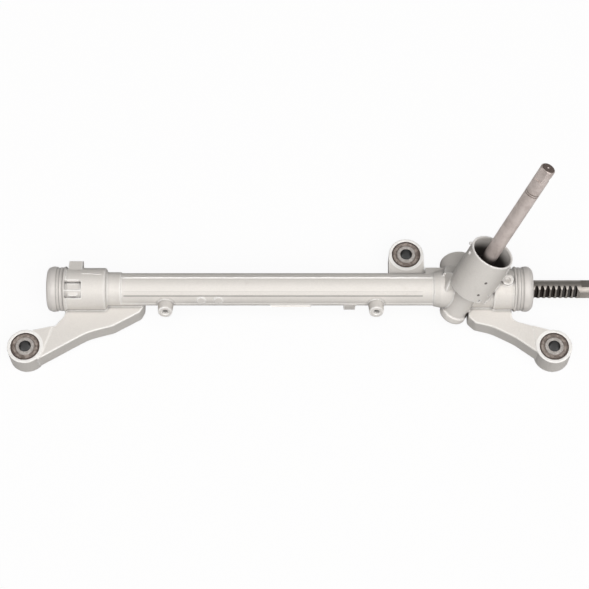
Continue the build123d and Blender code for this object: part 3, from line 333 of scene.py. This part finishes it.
def makeCastAluminium():
    finish = castAluminium
    material, tree = newMaterial("castAluminium")
    place = addNode(tree, "ShaderNodeTexCoord").outputs["Object"]
    axes = addNode(tree, "ShaderNodeSeparateXYZ", links={"Vector": place}).outputs
    blotch = noiseAt(tree, place, finish["blotches"])
    grain = noiseAt(tree, place, finish["grain"])
    stain = ramp(tree, "SMOOTHSTEP", finish["stainEdges"], (0, finish["stainMost"]), blotch)
    stained = layOver(tree, finish["colour"], finish["stain"], stain)
    speck = ramp(tree, "LINEAR", finish["grainEdges"], finish["grainTones"], grain)
    skin = addNode(tree, "ShaderNodeMix", {"data_type": "RGBA", "blend_type": "MULTIPLY"}, {"Factor": 1.0},
                   {"A": stained, "B": speck})

    # Corners rubbed bright in the blasting drum, with a painted highlight along them: where a rounded normal leaves
    # the true one
    rounded = addNode(tree, "ShaderNodeBevel", {"samples": 4}, {"Radius": finish["cornerRadius"]})
    facing = addNode(tree, "ShaderNodeNewGeometry")
    agree = vectorStep(tree, "DOT_PRODUCT", "Value", rounded.outputs[0], facing.outputs["Normal"])
    corner = ramp(tree, "LINEAR", finish["cornerEdges"], (0, finish["cornerGain"]), agree)
    wearAndHighlight = numberStep(tree, "MULTIPLY", corner, grain)
    colour = layOver(tree, skin.outputs["Result"], finish["rubbedAndHighlight"], wearAndHighlight)

    # Painted shade: dark lines along both sides of the raised band of the tube, by the angle round the bar
    fromBar, barAway = fromBarAxis(tree, place)
    frontward = vectorStep(tree, "DOT_PRODUCT", "Value", fromBar, toTeeth)
    upward = vectorStep(tree, "DOT_PRODUCT", "Value", fromBar, rise)
    angle = numberStep(tree, "ARCTAN2", frontward, upward)
    runStart, runEnd = finish["bandRun"]
    onTube = numberStep(tree, "COMPARE", axes["X"], (runStart + runEnd) / 2, (runEnd - runStart) / 2)
    for degrees, (halfWidth, tone) in finish["bandAngles"].items():
        widths = (radians(halfWidth), radians(halfWidth * finish["bandCore"]))
        line = softLine(tree, angle, radians(degrees), widths, tone, onTube)
        colour = layOver(tree, colour, finish["paintedShade"], line)

    # Blow holes opened by the lathe, shown as painted shade: dark spots with ragged edges
    ragged = numberStep(tree, "MULTIPLY_ADD", grain, 2 * finish["pitRagged"], -finish["pitRagged"])
    for pixel in finish["pitPixels"]:
        pitAway = vectorStep(tree, "DISTANCE", "Value", place, underPixel(*pixel))
        pitEdge = numberStep(tree, "ADD", pitAway, ragged)
        pitEdges = (finish["pitRadius"], finish["pitRadius"] * finish["pitCore"])
        hole = ramp(tree, "SMOOTHSTEP", pitEdges, (0, finish["pitMost"]), pitEdge)
        colour = layOver(tree, colour, finish["pitShade"], hole)

    # Where the lathe has been: outside the two bellows seats
    halfLength = (rightEnd - leftEnd) / 2
    fromMiddle = numberStep(tree, "SUBTRACT", axes["X"], (leftEnd + rightEnd) / 2)
    outward = numberStep(tree, "ABSOLUTE", fromMiddle)
    endward = numberStep(tree, "GREATER_THAN", outward, halfLength - finish["seatLength"])
    nearBar = numberStep(tree, "LESS_THAN", barAway, finish["seatRadius"])
    seats = numberStep(tree, "MULTIPLY", endward, nearBar)

    # inside the cup
    inCup = fromPinion(tree, place)
    across = vectorStep(tree, "MULTIPLY", "Vector", inCup, (1, 1, 0))
    cupAway = vectorStep(tree, "LENGTH", "Value", across)
    cupHeight = addNode(tree, "ShaderNodeSeparateXYZ", links={"Vector": inCup}).outputs["Z"]
    narrow = numberStep(tree, "LESS_THAN", cupAway, finish["cupInside"])
    aboveFoot = numberStep(tree, "GREATER_THAN", cupHeight, finish["cupFoot"])
    cup = numberStep(tree, "MULTIPLY", narrow, aboveFoot)

    # and on the faces round the bushes
    boltNear = numberStep(tree, "LESS_THAN", boltDistance(tree, place), finish["faceRadius"])
    fromCore = numberStep(tree, "SUBTRACT", axes["Z"], sleeveMiddle)
    offCore = numberStep(tree, "ABSOLUTE", fromCore)
    atFace = numberStep(tree, "GREATER_THAN", offCore, finish["faceHeight"])
    faces = numberStep(tree, "MULTIPLY", boltNear, atFace)
    ends = numberStep(tree, "MAXIMUM", seats, cup)
    turned = numberStep(tree, "MAXIMUM", ends, faces)
    colour = layOver(tree, colour, finish["turned"], ends)
    colour = layOver(tree, colour, finish["faced"], faces)

    # Painted shade in the grooves turned for the bellows
    for inset, tone in finish["seatShadeLines"].items():
        line = softLine(tree, outward, halfLength - inset, finish["seatShadeWidths"], tone, nearBar)
        colour = layOver(tree, colour, finish["paintedShade"], line)

    # Painted shade in narrow corners, by how much of the sky each one sees
    sky = addNode(tree, "ShaderNodeAmbientOcclusion", {"samples": 6, "only_local": True},
                  {"Distance": finish["shadeReach"]})
    narrows = ramp(tree, "LINEAR", finish["shadeEdges"], (0, 1), sky.outputs["AO"])
    colour = layOver(tree, colour, finish["paintedShade"], narrows)

    # Painted shade in the depth of the cup, darker towards the bottom
    depth = numberStep(tree, "SUBTRACT", cupRim, cupHeight)
    film = ramp(tree, "SMOOTHSTEP", finish["cupShadeDepth"], (0, finish["cupShadeMost"]), depth)
    cupShaded = numberStep(tree, "MULTIPLY", film, cup)
    colour = layOver(tree, colour, finish["cupShade"], cupShaded)

    # Blasted grain on the cast skin, rings of the lathe on the turned faces
    roughnesses = (finish["roughness"] - finish["roughSpread"], finish["roughness"] + finish["roughSpread"])
    castRough = ramp(tree, "LINEAR", (0, 1), roughnesses, blotch)
    rough = addNode(tree, "ShaderNodeMix", {"data_type": "FLOAT"}, {"B": finish["turnedRoughness"]},
                    {"A": castRough, "Factor": turned})
    rings = addNode(tree, "ShaderNodeTexWave", {"bands_direction": "X"}, finish["rings"], {"Vector": place})
    relief = addNode(tree, "ShaderNodeMix", {"data_type": "FLOAT"},
                     links={"A": grain, "B": rings.outputs["Fac"], "Factor": turned})
    bump = addNode(tree, "ShaderNodeBump", values=finish["relief"], links={"Height": relief.outputs[0]})
    finishMaterial(tree, {"Metallic": finish["metallic"], "Specular IOR Level": finish["sheen"]},
                   {"Base Color": colour, "Roughness": rough.outputs[0], "Normal": bump.outputs[0]})
    return material


# A turned or ground steel: rings around its own axis, faint streaks, and a film left by handling that dulls it
steels = {
    "groundSteel": {"colour": "#97918B", "film": "#7B736C", "metallic": 0.65, "roughness": 0.36, "pitch": 0.8 * mm,
                    "strength": 0.10, "axis": "bar", "filmShare": 0.5},
    "turnedSteel": {"colour": "#D0C4BE", "film": "#AC9F98", "metallic": 0.45, "roughness": 0.42, "pitch": 0.9 * mm,
                    "strength": 0.22, "axis": "pinion", "filmShare": 0.7,
                    "cupShadeFrom": (cupRim + 1 * mm, cupRim - 9 * mm),
                    # the sawn end and the two grooves are drawn darker: distance from the end and half width
                    "grooveTone": "#6E6059", "grooveToneAt": {0.0: 0.2 * mm, 38.45 * mm: 0.55 * mm, 41.15 * mm: 0.55 * mm}},
    "bearingSteel": {"colour": "#C4C4C4", "film": "#9A9A98", "metallic": 1.0, "roughness": 0.14, "pitch": 1.2 * mm,
                     "strength": 0.03, "axis": "pinion", "filmShare": 0.15},
    "springSteel": {"colour": "#4C4A49", "film": "#2E2C2B", "metallic": 1.0, "roughness": 0.38, "pitch": 1.5 * mm,
                    "strength": 0.05, "axis": "pinion", "filmShare": 0.4},
    "zincPlatedSteel": {"colour": "#B9B8B2", "film": "#8F8D84", "metallic": 0.85, "roughness": 0.32,
                        "pitch": 1.5 * mm, "strength": 0.05, "axis": "pinion", "filmShare": 0.3},
}
steelFilm = {
    "cloud": {"Scale": 90.0, "Detail": 6.0, "Roughness": 0.65},
    "edges": (0.40, 0.72),
    "glossier": 0.06,
    "duller": 0.14,
    "rings": {"Distortion": 1.5, "Detail": 3.0, "Detail Scale": 2.0},
    "ringDepth": 0.1 * mm,
}

# Grease pressed into the gaps of the bar: dark, smooth, thick at the root and thin where the lands begin
gapGrease = {
    "colour": "#1D1511",
    "roughness": 0.26,
    "endToGaps": 23.6 * mm,
    "gapCount": 25,
    "gapPitch": 6.9115 * mm,
    "below": (8.25 * mm, 7.3 * mm),
    "inside": 11.1 * mm,
    "uneven": 0.8 * mm,
    "most": 0.97,
}


# How much grease lies at each place of the bar
def greaseShare(tree, place, lumps):
    fromBar, barAway = fromBarAxis(tree, place)
    height = vectorStep(tree, "DOT_PRODUCT", "Value", fromBar, toTeeth)
    inside = numberStep(tree, "LESS_THAN", barAway, gapGrease["inside"])
    half = gapGrease["gapCount"] * gapGrease["gapPitch"] / 2
    lengthwise = addNode(tree, "ShaderNodeSeparateXYZ", links={"Vector": place}).outputs["X"]
    fromGaps = numberStep(tree, "SUBTRACT", lengthwise, barHigh.x - gapGrease["endToGaps"] - half)
    gapsAway = numberStep(tree, "ABSOLUTE", fromGaps)
    along = numberStep(tree, "LESS_THAN", gapsAway, half)
    uneven = numberStep(tree, "MULTIPLY_ADD", lumps, 2 * gapGrease["uneven"], -gapGrease["uneven"])
    surface = numberStep(tree, "ADD", height, uneven)
    low = ramp(tree, "SMOOTHSTEP", gapGrease["below"], (0, gapGrease["most"]), surface)
    both = numberStep(tree, "MULTIPLY", inside, along)
    return numberStep(tree, "MULTIPLY", both, low)


def makeSteel(name):
    finish = steels[name]
    material, tree = newMaterial(name)
    place = addNode(tree, "ShaderNodeTexCoord").outputs["Object"]
    onBar = finish["axis"] == "bar"
    spun = place if onBar else fromPinion(tree, place)
    rings = addNode(tree, "ShaderNodeTexWave", {"bands_direction": "X" if onBar else "Z"},
                    {"Scale": waveUnit / finish["pitch"], **steelFilm["rings"]}, {"Vector": spun})
    cloud = noiseAt(tree, spun, steelFilm["cloud"])
    share = ramp(tree, "SMOOTHSTEP", steelFilm["edges"], (0, finish["filmShare"]), cloud)
    colour = layOver(tree, finish["colour"], finish["film"], share)
    roughnesses = (finish["roughness"] - steelFilm["glossier"], finish["roughness"] + steelFilm["duller"])
    rough = ramp(tree, "LINEAR", (0, 1), roughnesses, cloud)
    bump = addNode(tree, "ShaderNodeBump", values={"Strength": finish["strength"], "Distance": steelFilm["ringDepth"]},
                   links={"Height": rings.outputs["Fac"]})
    # Painted shade: the shaft darkens below the rim of the cup, as the depth of the cup does
    if "cupShadeFrom" in finish:
        reach = addNode(tree, "ShaderNodeSeparateXYZ", links={"Vector": spun}).outputs["Z"]
        cupShade = ramp(tree, "SMOOTHSTEP", finish["cupShadeFrom"], (0, castAluminium["cupShadeMost"]), reach)
        colour = layOver(tree, colour, castAluminium["cupShade"], cupShade)
        # darker lines at the sawn end and at the two grooves
        for fromEnd, half in finish["grooveToneAt"].items():
            line = numberStep(tree, "COMPARE", reach, shaftEnd - fromEnd, half)
            colour = layOver(tree, colour, finish["grooveTone"], line)
    values, links = {"Metallic": finish["metallic"]}, {}
    if onBar:
        grease = greaseShare(tree, place, cloud)
        colour = layOver(tree, colour, gapGrease["colour"], grease)
        rough = addNode(tree, "ShaderNodeMix", {"data_type": "FLOAT"}, {"B": gapGrease["roughness"]},
                        {"A": rough, "Factor": grease}).outputs["Result"]
        values, links = {}, {"Metallic": ramp(tree, "LINEAR", (0, 1), (finish["metallic"], 0), grease)}
    finishMaterial(tree, values, {"Base Color": colour, "Roughness": rough, "Normal": bump.outputs[0], **links})
    return material


# Moulded rubber with a dry bloom, phosphated steel that takes brown rust dust, drawn steel tube, the thin fin that
# trimming leaves on the casting, and moulded plastic
skins = {
    "mouldedRubber": {"light": "#A2978F", "dark": "#6E635C", "metallic": 0.0, "roughness": 0.60,
                      "size": 5.0 * mm, "relief": 0.25},
    "sealRubber": {"light": "#2A2A2A", "dark": "#151515", "metallic": 0.0, "roughness": 0.5,
                   "size": 1.2 * mm, "relief": 0.15},
    "phosphatedSteel": {"light": "#6E615A", "dark": "#453B36", "metallic": 0.5, "roughness": 0.5,
                        "size": 1.3 * mm, "relief": 0.30},
    "drawnSteel": {"light": "#C4BEB9", "dark": "#A8A19B", "metallic": 0.3, "roughness": 0.42,
                   "size": 2.2 * mm, "relief": 0.12, "bore": ("#1B1716", 7.4 * mm)},
    "trimmedFlash": {"light": "#FFFDFB", "dark": "#E6E2DE", "metallic": 0.2, "roughness": 0.45,
                     "size": 0.9 * mm, "relief": 0.30},
    "bearingPlastic": {"light": "#CFC8B4", "dark": "#B8AF99", "metallic": 0.0, "roughness": 0.45,
                       "size": 2.0 * mm, "relief": 0.08},
}
skinGrain = {
    "noise": {"Detail": 4.0, "Roughness": 0.65},
    "edges": (0.35, 0.68),
    "roughSpread": 0.1,
    "depth": 0.3 * mm,
}


def makeSkin(name):
    finish = skins[name]
    material, tree = newMaterial(name)
    place = addNode(tree, "ShaderNodeTexCoord").outputs["Object"]
    fine = noiseAt(tree, place, {"Scale": 1 / finish["size"], **skinGrain["noise"]})
    share = ramp(tree, "SMOOTHSTEP", skinGrain["edges"], (0, 1), fine)
    colour = layOver(tree, finish["dark"], finish["light"], share)
    # Painted shade: the bore of the sleeve is drawn near black
    if "bore" in finish:
        tone, radius = finish["bore"]
        inside = numberStep(tree, "LESS_THAN", boltDistance(tree, place), radius)
        colour = layOver(tree, colour, tone, inside)
    roughnesses = (finish["roughness"] - skinGrain["roughSpread"], finish["roughness"] + skinGrain["roughSpread"])
    rough = ramp(tree, "LINEAR", (0, 1), roughnesses, fine)
    bump = addNode(tree, "ShaderNodeBump", values={"Strength": finish["relief"], "Distance": skinGrain["depth"]},
                   links={"Height": fine})
    finishMaterial(tree, {"Metallic": finish["metallic"]},
                   {"Base Color": colour, "Roughness": rough, "Normal": bump.outputs[0]})
    return material


buildCamera()
buildFloor()
buildLight()
print("studio built")

materials = {"castAluminium": makeCastAluminium()}
for name in steels:
    materials[name] = makeSteel(name)
for name in skins:
    materials[name] = makeSkin(name)
print("materials built", len(materials))

slotFinishes = {
    "cast_aluminium": "castAluminium",
    "rack_steel": "groundSteel",
    "pinion_steel": "turnedSteel",
    "bush_steel": "phosphatedSteel",
    "bush_rubber": "mouldedRubber",
    "seal_rubber": "sealRubber",
    "bearing_steel": "bearingSteel",
    "spring_steel": "springSteel",
    "plated_steel": "zincPlatedSteel",
    "bearing_plastic": "bearingPlastic",
}
for subpart in frame["record"]["subparts"]:
    node = frame["nodes"][subpart["node"]]
    node.data.materials.clear()
    finish = "drawnSteel" if "sleeve" in subpart["node"] else slotFinishes[subpart["material_slot"]]
    node.data.materials.append(materials[finish])
print("frame painted")


# Casting skin: the housing's own shape with soft cast corners, and crisp edges where it is machined
casting = {
    "weld": 0.001 * mm,
    "voxel": 0.6 * mm,
    "softPasses": 3,
    "softShare": 0.5,
    "triangles": 190000,
    "waviness": 0.05 * mm,
    "waveLength": 9 * mm,
    "sharpAngle": 38,
    "seatLength": 23 * mm,
    "seatRadius": 30 * mm,
    "boreRadius": 23.2 * mm,
    "bushRadius": 18.9 * mm,
    "cupRadius": 25.0 * mm,
    "cupFoot": 25 * mm,
    "stubRadius": 5.2 * mm,
    "shares": {"seat": 0.12, "bore": 0.05, "cup": 0.12, "bush": 0.05, "stub": 0.1},
}


def meshFrom(thing, name):
    graph = bpy.context.evaluated_depsgraph_get()
    mesh = bpy.data.meshes.new_from_object(thing.evaluated_get(graph))
    mesh.name = name
    bpy.data.objects.remove(thing)
    return mesh


def linkPiece(name, mesh):
    thing = bpy.data.objects.new(name, mesh)
    bpy.context.scene.collection.objects.link(thing)
    return thing


# Distance of each point from a line, and how far along the line it stands
def axisDistance(points, start, way):
    away = points - np.array(start)
    along = away @ np.array(way)
    return np.linalg.norm(away - np.outer(along, np.array(way)), axis=1), along


# How far each point may be softened: near 0 on machined faces, 1 on the cast skin
def castShare(points):
    shares = casting["shares"]
    share = np.ones(len(points))
    barAway, _ = axisDistance(points, barMiddle, rightward)
    seats = (points[:, 0] < leftEnd + casting["seatLength"]) | (points[:, 0] > rightEnd - casting["seatLength"])
    share[seats & (barAway < casting["seatRadius"])] = shares["seat"]
    share[barAway < casting["boreRadius"]] = shares["bore"]
    cupAway, cupHeight = axisDistance(points, pinionCentre, pinionWay)
    share[(cupAway < casting["cupRadius"]) & (cupHeight > casting["cupFoot"])] = shares["cup"]
    for centre in boltPlaces:
        boltAway, _ = axisDistance(points, centre, (0, 0, 1))
        share[boltAway < casting["bushRadius"]] = shares["bush"]
    for name in ("left_stub_thread", "right_stub_thread"):
        stubAway, _ = axisDistance(points, mounts[name]["pos_m"], mounts[name]["axis"])
        share[stubAway < casting["stubRadius"]] = shares["stub"]
    return share


def castHousing():
    raw = bmesh.new()
    raw.from_mesh(frame["nodes"]["housing"].data)
    bmesh.ops.remove_doubles(raw, verts=raw.verts, dist=casting["weld"])
    mesh = bpy.data.meshes.new("castingRaw")
    raw.to_mesh(mesh)
    raw.free()
    thing = linkPiece("castingRaw", mesh)
    remesh = thing.modifiers.new("even", "REMESH")
    remesh.mode = "VOXEL"
    remesh.voxel_size = casting["voxel"]
    mesh = meshFrom(thing, "castingEven")

    thing = linkPiece("castingEven", mesh)
    points = np.zeros(len(mesh.vertices) * 3)
    mesh.vertices.foreach_get("co", points)
    share = castShare(points.reshape(-1, 3))
    group = thing.vertex_groups.new(name="cast")
    for level in np.unique(share):
        group.add([int(i) for i in np.flatnonzero(share == level)], float(level), "REPLACE")
    soften = thing.modifiers.new("soften", "SMOOTH")
    soften.factor = casting["softShare"]
    soften.iterations = casting["softPasses"]
    soften.vertex_group = "cast"
    waves = bpy.data.textures.new("castWaves", "CLOUDS")
    waves.noise_scale = casting["waveLength"]
    wavy = thing.modifiers.new("wavy", "DISPLACE")
    wavy.texture = waves
    wavy.texture_coords = "LOCAL"
    wavy.strength = casting["waviness"] * 2     # as far in as out
    wavy.mid_level = 0.5
    wavy.vertex_group = "cast"
    thin = thing.modifiers.new("thin", "DECIMATE")
    thin.ratio = casting["triangles"] / (2 * len(mesh.polygons))     # each face of the even mesh is two triangles
    mesh = meshFrom(thing, "castingSkin")
    mesh.shade_smooth()
    mesh.set_sharp_from_angle(angle=radians(casting["sharpAngle"]))
    mesh.materials.clear()
    mesh.materials.append(materials["castAluminium"])
    skin = linkPiece("castingSkin", mesh)
    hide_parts("housing")
    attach(skin, "casing")
    print("casting skin", len(mesh.polygons), "faces")


# Gusset between the collar of the tube and the flank of the cup. Its corners stand at places of the picture,
# each so far proud of the casting, or sunk in it where the distance is negative
gusset = {
    "corners": [(443.9, 271.8, -1.5 * mm), (443.4, 289.5, -1.5 * mm), (445.3, 293.8, -0.8 * mm),
                (452.0, 292.0, -1.5 * mm), (454.0, 273.0, -1.0 * mm), (449.8, 271.6, 4.5 * mm),
                (447.0, 288.6, 3.0 * mm)],
    "edge": 0.9 * mm,
    "edgeSteps": 3,
}


def castGusset():
    solid = bmesh.new()
    for column, row, proud in gusset["corners"]:
        foot = underPixel(column, row)
        solid.verts.new(foot + (Vector(studio["cameraPlace"]) - foot).normalized() * proud)
    hull = bmesh.ops.convex_hull(solid, input=solid.verts)
    bmesh.ops.delete(solid, geom=hull["geom_interior"], context="VERTS")
    bmesh.ops.bevel(solid, geom=solid.edges, offset=gusset["edge"], segments=gusset["edgeSteps"],
                    affect="EDGES", profile=0.5)
    bmesh.ops.recalc_face_normals(solid, faces=solid.faces)
    mesh = bpy.data.meshes.new("towerGusset")
    solid.to_mesh(mesh)
    solid.free()
    mesh.shade_smooth()
    mesh.set_sharp_from_angle(angle=radians(casting["sharpAngle"]))
    mesh.materials.append(materials["castAluminium"])
    piece = linkPiece("tower_gusset", mesh)
    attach(piece, "casing")
    print("tower gusset", len(mesh.polygons), "faces")


# Fin of metal that the two halves of the mould leave along the crest, trimmed by hand and so uneven
mouldFlash = {
    "runs": {"left_barrel_flash": (-258 * mm, -233 * mm), "tube_flash": (-206 * mm, 165 * mm)},
    "aboveCrest": 80 * mm,
    "step": 1.5 * mm,
    "seed": 4.0,
    "sway": 1.5 * mm,
    "swayWays": (0, 2, 0.35),     # none along the fin, most of it sideways
    "wander": {"Scale": 70.0, "Detail": 4.0},
    "thickness": 0.42 * mm,
    "sides": 6,
    "breaks": {"Scale": 160.0, "Detail": 3.0},
    "breakEdges": (0.42, 0.62),
    "breakWidths": (0.15, 1.35),
}


# Distance from the bar's axis to the casting, along the crest
def crestRadius(x):
    axis = Vector((x, barY, barZ))
    hit = frame["nodes"]["housing"].ray_cast(axis + rise * mouldFlash["aboveCrest"], -rise)
    return (hit[1] - axis).dot(rise)


# These look at the CAD housing, so they come before the skin that replaces it
castGusset()
crests = {name: crestRadius((start + end) / 2) for name, (start, end) in mouldFlash["runs"].items()}
castHousing()


# A tree of nodes, the sockets that take its sizes, and its sizes by name
def newTree(name, labels):
    tree = bpy.data.node_groups.new(name, "GeometryNodeTree")
    tree.interface.new_socket(name="Geometry", in_out="OUTPUT", socket_type="NodeSocketGeometry")
    sockets = {}
    for label in labels:
        socket = tree.interface.new_socket(name=label, in_out="INPUT", socket_type="NodeSocketFloat")
        sockets[label] = socket.identifier
    return tree, sockets, addNode(tree, "NodeGroupInput").outputs


# Ends a tree: a ribbon of the profile along the line, as real faces with their material
def finishTree(tree, line, profile, finish):
    ribbon = addNode(tree, "GeometryNodeCurveToMesh", values={"Fill Caps": True},
                     links={"Curve": line, "Profile Curve": profile})
    real = addNode(tree, "GeometryNodeRealizeInstances", links={"Geometry": ribbon.outputs[0]})
    painted = addNode(tree, "GeometryNodeSetMaterial", values={"Material": materials[finish]},
                      links={"Geometry": real.outputs[0]})
    addNode(tree, "NodeGroupOutput", links={"Geometry": painted.outputs[0]})


def roundProfile(tree, sides, radius):
    return addNode(tree, "GeometryNodeCurvePrimitiveCircle", {"mode": "RADIUS"}, {"Resolution": sides},
                   {"Radius": radius}).outputs[0]


# Runs a tree once with its sizes, and stands the plain mesh in its place
def growPiece(name, tree, sockets, sizes, place, body, slot):
    seed = linkPiece(name, bpy.data.meshes.new(name))
    grow = seed.modifiers.new("grow", "NODES")
    grow.node_group = tree
    for label, value in sizes.items():
        grow[sockets[label]] = value
    mesh = meshFrom(seed, name)
    mesh.transform(place)
    piece = linkPiece(name, mesh)
    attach(piece, body)
    print(name, len(mesh.polygons), "faces")


def flashTree():
    tree, sockets, sizes = newTree("mouldFlash", ("Start", "End", "Thickness", "Sway", "Seed"))
    start = addNode(tree, "ShaderNodeCombineXYZ", links={"X": sizes["Start"]})
    end = addNode(tree, "ShaderNodeCombineXYZ", links={"X": sizes["End"]})
    run = addNode(tree, "GeometryNodeCurvePrimitiveLine", links={"Start": start.outputs[0], "End": end.outputs[0]})
    stepped = addNode(tree, "GeometryNodeResampleCurve", {"mode": "LENGTH"}, {"Length": mouldFlash["step"]},
                      {"Curve": run.outputs[0]})
    seeded = {"Vector": addNode(tree, "GeometryNodeInputPosition").outputs[0], "W": sizes["Seed"]}
    wander = addNode(tree, "ShaderNodeTexNoise", {"noise_dimensions": "4D"}, mouldFlash["wander"], seeded)
    centred = vectorStep(tree, "SUBTRACT", "Vector", wander.outputs["Color"], (0.5, 0.5, 0.5))
    sideways = vectorStep(tree, "MULTIPLY", "Vector", centred, mouldFlash["swayWays"])
    offset = addNode(tree, "ShaderNodeVectorMath", {"operation": "SCALE"}, links={0: sideways, "Scale": sizes["Sway"]})
    moved = addNode(tree, "GeometryNodeSetPosition",
                    links={"Geometry": stepped.outputs[0], "Offset": offset.outputs[0]})
    breaks = addNode(tree, "ShaderNodeTexNoise", {"noise_dimensions": "4D"}, mouldFlash["breaks"], seeded)
    swell = ramp(tree, "LINEAR", mouldFlash["breakEdges"], mouldFlash["breakWidths"], breaks.outputs["Fac"])
    width = addNode(tree, "GeometryNodeSetCurveRadius", links={"Curve": moved.outputs[0], "Radius": swell})
    finishTree(tree, width.outputs[0], roundProfile(tree, mouldFlash["sides"], sizes["Thickness"]), "trimmedFlash")
    return tree, sockets


tree, sockets = flashTree()
for name, (start, end) in mouldFlash["runs"].items():
    place = Matrix((rightward, -toTeeth, rise)).transposed().to_4x4()
    place.translation = Vector((0, barY, barZ)) + rise * crests[name]
    sizes = {"Start": start, "End": end, "Thickness": mouldFlash["thickness"], "Sway": mouldFlash["sway"],
             "Seed": mouldFlash["seed"]}
    growPiece(name, tree, sockets, sizes, place, "casing", "cast_aluminium")


# Threads cut in the two stubs and in the ends of the bar: one ridge that winds down each bore
threads = {
    "stub": {"pitch": 1.25 * mm, "depth": 0.42 * mm, "inset": 1.6 * mm},
    "tie_rod": {"pitch": 1.5 * mm, "depth": 0.5 * mm, "inset": 1.6 * mm},
    "stepsPerTurn": 28,
    "sides": 4,
    "holes": {"left_stub_thread": ("stub", "casing", "cast_aluminium"),
              "right_stub_thread": ("stub", "casing", "cast_aluminium"),
              "left_tie_rod_thread": ("tie_rod", "rack", "rack_steel"),
              "right_tie_rod_thread": ("tie_rod", "rack", "rack_steel")},
}


def threadTree(finish):
    tree, sockets, sizes = newTree("cutThread", ("Radius", "Pitch", "Turns", "Depth"))
    height = numberStep(tree, "MULTIPLY", sizes["Turns"], sizes["Pitch"])
    helix = addNode(tree, "GeometryNodeCurveSpiral", values={"Resolution": threads["stepsPerTurn"]},
                    links={"Rotations": sizes["Turns"], "Start Radius": sizes["Radius"],
                           "End Radius": sizes["Radius"], "Height": height})
    finishTree(tree, helix.outputs[0], roundProfile(tree, threads["sides"], sizes["Depth"]), finish)
    return tree, sockets


threadTrees = {"casing": threadTree("castAluminium"), "rack": threadTree("groundSteel")}
for hole, (kind, body, slot) in threads["holes"].items():
    mount, thread = mounts[hole], threads[kind]
    way = Vector(mount["axis"])
    holeLength = mount["dims"]["length_mm"] * mm
    place = way.to_track_quat("Z", "Y").to_matrix().to_4x4()
    place.translation = Vector(mount["pos_m"]) - way * holeLength / 2
    sizes = {"Radius": mount["dims"]["r_mm"] * mm, "Pitch": thread["pitch"],
             "Turns": (holeLength - thread["inset"]) / thread["pitch"], "Depth": thread["depth"]}
    growPiece(hole + "_ridge", *threadTrees[body], sizes, place, body, slot)
